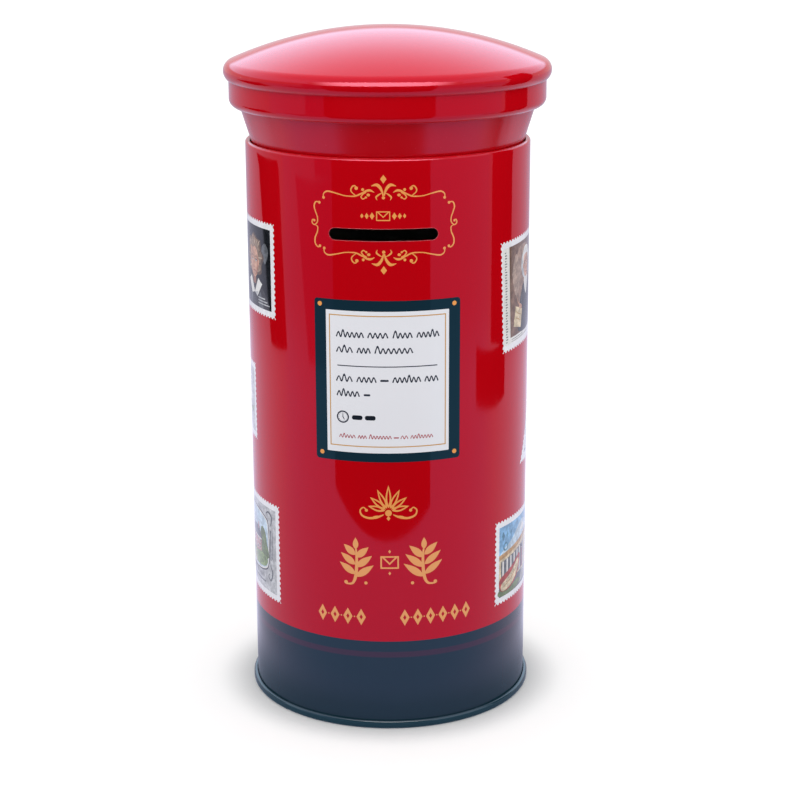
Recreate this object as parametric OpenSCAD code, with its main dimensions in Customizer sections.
// A small round money tin in the shape of a street pillar box: a rolled tinplate body with a
// letter slot, a base seamed on to it, and a domed lid whose tapered neck plugs into the mouth.
// Every piece is sheet, drawn as a section and turned about the upright axis.

/* [Tinplate] */
// Thickness of the sheet that every piece is pressed from
sheet_t = 0.3; // [0.25:0.05:0.35]

/* [Body] */
// Outside diameter of the rolled body
body_d = 62.2; // [58:0.2:66]
// Height of the mouth above the table
mouth_h = 126; // [110:1:150]
// Thickness of the inward roll round the mouth
mouth_roll_d = 1.2; // [1.1:0.05:1.3]
// Width of the folded side seam at the back
seam_w = 4.5; // [3:0.5:6]

/* [Letter slot] */
// Length of the slot from end to end
slot_l = 22.6; // [18:0.2:26]
// Height of the slot's opening
slot_h = 2.6; // [2:0.1:4]
// Height of the slot's centre above the table
slot_z = 110.2; // [95:0.1:112]

/* [Base] */
// Outside diameter of the seam round the foot
foot_d = 64; // [63.8:0.1:65]
// Height of the seam round the foot
foot_h = 1.7; // [1.6:0.1:2]
// Depth of the recess under the base
recess_h = 3; // [2.4:0.2:5]

/* [Lid] */
// Outside diameter of the plug that goes into the mouth
plug_d = 58.8; // [58.6:0.1:58.8]
// Depth of the plug below the mouth's rolled rim
plug_depth = 9; // [7:0.5:12]
// Outside diameter at the top of the tapered neck
neck_d = 64.2; // [63.6:0.1:64.4]
// Height of the band's underside above the table
band_z = 133.2; // [132.8:0.1:134]
// Outside diameter of the upright band
band_d = 68.8; // [68.4:0.1:69]
// Radius of the band's rounded lower corner
band_corner_r = 1.75; // [1.6:0.05:1.9]
// Outside diameter of the rolled lip, the widest part of the lid
lip_d = 71; // [70.6:0.1:71.4]
// Thickness of the lip's roll from its underside to its top
lip_roll_d = 4.8; // [4.6:0.1:5]
// Height of the lip roll's centre above the table
lip_z = 140.8; // [140.4:0.1:141.2]
// Height of the dome's crown above the table
lid_top_z = 150; // [147:0.5:153]

/* [Hidden] */
$fn = 180;

red = [0.73, 0.02, 0.06];
navy = [0.15, 0.25, 0.33];
tin = [0.78, 0.78, 0.76];

body_r = body_d / 2;
foot_r = foot_d / 2;
plug_r = plug_d / 2;
neck_r = neck_d / 2;
band_r = band_d / 2;
lip_r = lip_d / 2;

// Working gap between two sheets of one assembly that lie against each other
sheet_gap = 0.05;

// Foot seam: the base's edge is rolled round a flange on the body's lower edge
foot_corner_r = 0.5;
flange_top_z = foot_h - sheet_t;
flange_r = foot_r - sheet_t - sheet_gap;
pan_wall_r = body_r - sheet_t - sheet_gap;

// Rolled rim of the mouth
mouth_roll_r = mouth_roll_d / 2;

// Side seam: the two edges of the sheet are hooked together and pressed flat inside the tube
seam_layers = 2;
seam_foot_z = recess_h + 1.5;
seam_top_z = mouth_h - plug_depth - 2;

// Roll on the plug's lower edge
plug_roll_r = 0.5;
plug_bottom_z = mouth_h - plug_depth;
// The neck starts to widen just below the rolled rim
taper_z = mouth_h - 1.5;
taper_per_mm = (neck_r - plug_r) / (band_z - taper_z);

// Band
band_corner_x = band_r - band_corner_r;
band_corner_z = band_z + band_corner_r;
band_floor_r = neck_r + taper_per_mm * sheet_t + sheet_gap;
band_top_z = lip_z + 0.4;
band_hook = 0.5;

// Lip and dome: the dome is part of a sphere that runs smoothly into the top of the lip's roll
lip_roll_r = lip_roll_d / 2;
lip_x = lip_r - lip_roll_r;
crown_drop = lid_top_z - lip_z;
dome_r = (lip_x * lip_x + crown_drop * crown_drop - lip_roll_r * lip_roll_r)
    / (2 * (crown_drop - lip_roll_r));
dome_edge_angle = asin(lip_x / (dome_r - lip_roll_r));

// A pie slice from angle a to angle b, for cutting arcs
module slice(size, a, b) {
    steps = 4;
    polygon(concat([[0, 0]], [for (i = [0 : steps])
        let (turn = a + (b - a) * i / steps)
        [size * cos(turn), size * sin(turn)]]));
}

// A strip of sheet bent round a centre, from angle a to angle b
module bend(outer_r, a, b) {
    intersection() {
        difference() {
            circle(r = outer_r);
            circle(r = outer_r - sheet_t);
        }
        slice(2 * outer_r, a, b);
    }
}

// A straight strip between two corners
module strip(x0, z0, x1, z1) {
    polygon([[x0, z0], [x1, z0], [x1, z1], [x0, z1]]);
}

module body_section() {
    strip(body_r - sheet_t, flange_top_z - sheet_t, body_r, mouth_h - mouth_roll_r);
    strip(body_r - sheet_t, flange_top_z - sheet_t, flange_r, flange_top_z);
    translate([body_r - mouth_roll_r, mouth_h - mouth_roll_r]) bend(mouth_roll_r, 0, 250);
}

module slot_cutter() {
    end_x = (slot_l - slot_h) / 2;
    translate([0, 0, slot_z]) rotate([90, 0, 0]) linear_extrude(body_r + 1) union() {
        translate([-end_x, -slot_h / 2]) square([2 * end_x, slot_h]);
        for (x = [-end_x, end_x]) translate([x, 0]) circle(d = slot_h);
    }
}

// The folded edges of the sheet, inside the tube at the back
module side_seam() {
    seam_in_r = body_r - (1 + seam_layers) * sheet_t;
    intersection() {
        rotate_extrude() strip(seam_in_r, seam_foot_z, body_r - sheet_t / 2, seam_top_z);
        translate([-seam_w / 2, 0, 0]) cube([seam_w, body_r, mouth_h]);
    }
}

module body_tube() {
    color(red) difference() {
        union() {
            rotate_extrude() body_section();
            side_seam();
        }
        slot_cutter();
    }
}

module base_section() {
    corner_z = foot_corner_r;
    inner_x = pan_wall_r - sheet_t + foot_corner_r;
    outer_x = foot_r - foot_corner_r;
    top_z = foot_h - foot_corner_r;
    strip(0, recess_h, pan_wall_r, recess_h + sheet_t);
    strip(pan_wall_r - sheet_t, corner_z, pan_wall_r, recess_h + sheet_t);
    translate([inner_x, corner_z]) bend(foot_corner_r, 180, 270);
    strip(inner_x, 0, outer_x, sheet_t);
    translate([outer_x, corner_z]) bend(foot_corner_r, 270, 360);
    strip(foot_r - sheet_t, corner_z, foot_r, top_z);
    translate([outer_x, top_z]) bend(foot_corner_r, 0, 90);
    strip(body_r + sheet_gap, foot_h - sheet_t, outer_x, foot_h);
}

module base_pan() {
    color(navy) rotate_extrude() base_section();
}

module dome_section() {
    roll_start = 90 - dome_edge_angle;
    translate([0, lid_top_z - dome_r]) bend(dome_r, roll_start, 90);
    difference() {
        translate([lip_x, lip_z]) bend(lip_roll_r, -90, roll_start);
        strip(0, lip_z - 2 * lip_roll_r, band_r + sheet_gap, lip_z);
    }
}

module lid_dome() {
    color(red) rotate_extrude() dome_section();
}

module band_section() {
    strip(band_floor_r, band_z, band_corner_x, band_z + sheet_t);
    translate([band_corner_x, band_corner_z]) bend(band_corner_r, 270, 360);
    strip(band_r - sheet_t, band_corner_z, band_r, band_top_z);
    strip(band_r - sheet_t, band_top_z - sheet_t, band_r + band_hook, band_top_z);
}

module lid_band() {
    color(red) rotate_extrude() band_section();
}

module neck_section() {
    flange_z = band_z + sheet_t;
    flange_x = neck_r + taper_per_mm * 2 * sheet_t;
    nest_r = band_corner_r - sheet_t - sheet_gap;
    translate([plug_r - plug_roll_r, plug_bottom_z + plug_roll_r]) bend(plug_roll_r, -250, 0);
    strip(plug_r - sheet_t, plug_bottom_z + plug_roll_r, plug_r, taper_z);
    polygon([
        [plug_r - sheet_t, taper_z],
        [plug_r, taper_z],
        [flange_x, flange_z + sheet_t],
        [flange_x - sheet_t, flange_z + sheet_t],
    ]);
    strip(flange_x - sheet_t, flange_z, band_corner_x, flange_z + sheet_t);
    translate([band_corner_x, band_corner_z]) bend(nest_r, 270, 340);
}

module lid_neck() {
    color(red) rotate_extrude() neck_section();
}

body_tube();
base_pan();
lid_dome();
lid_band();
lid_neck();
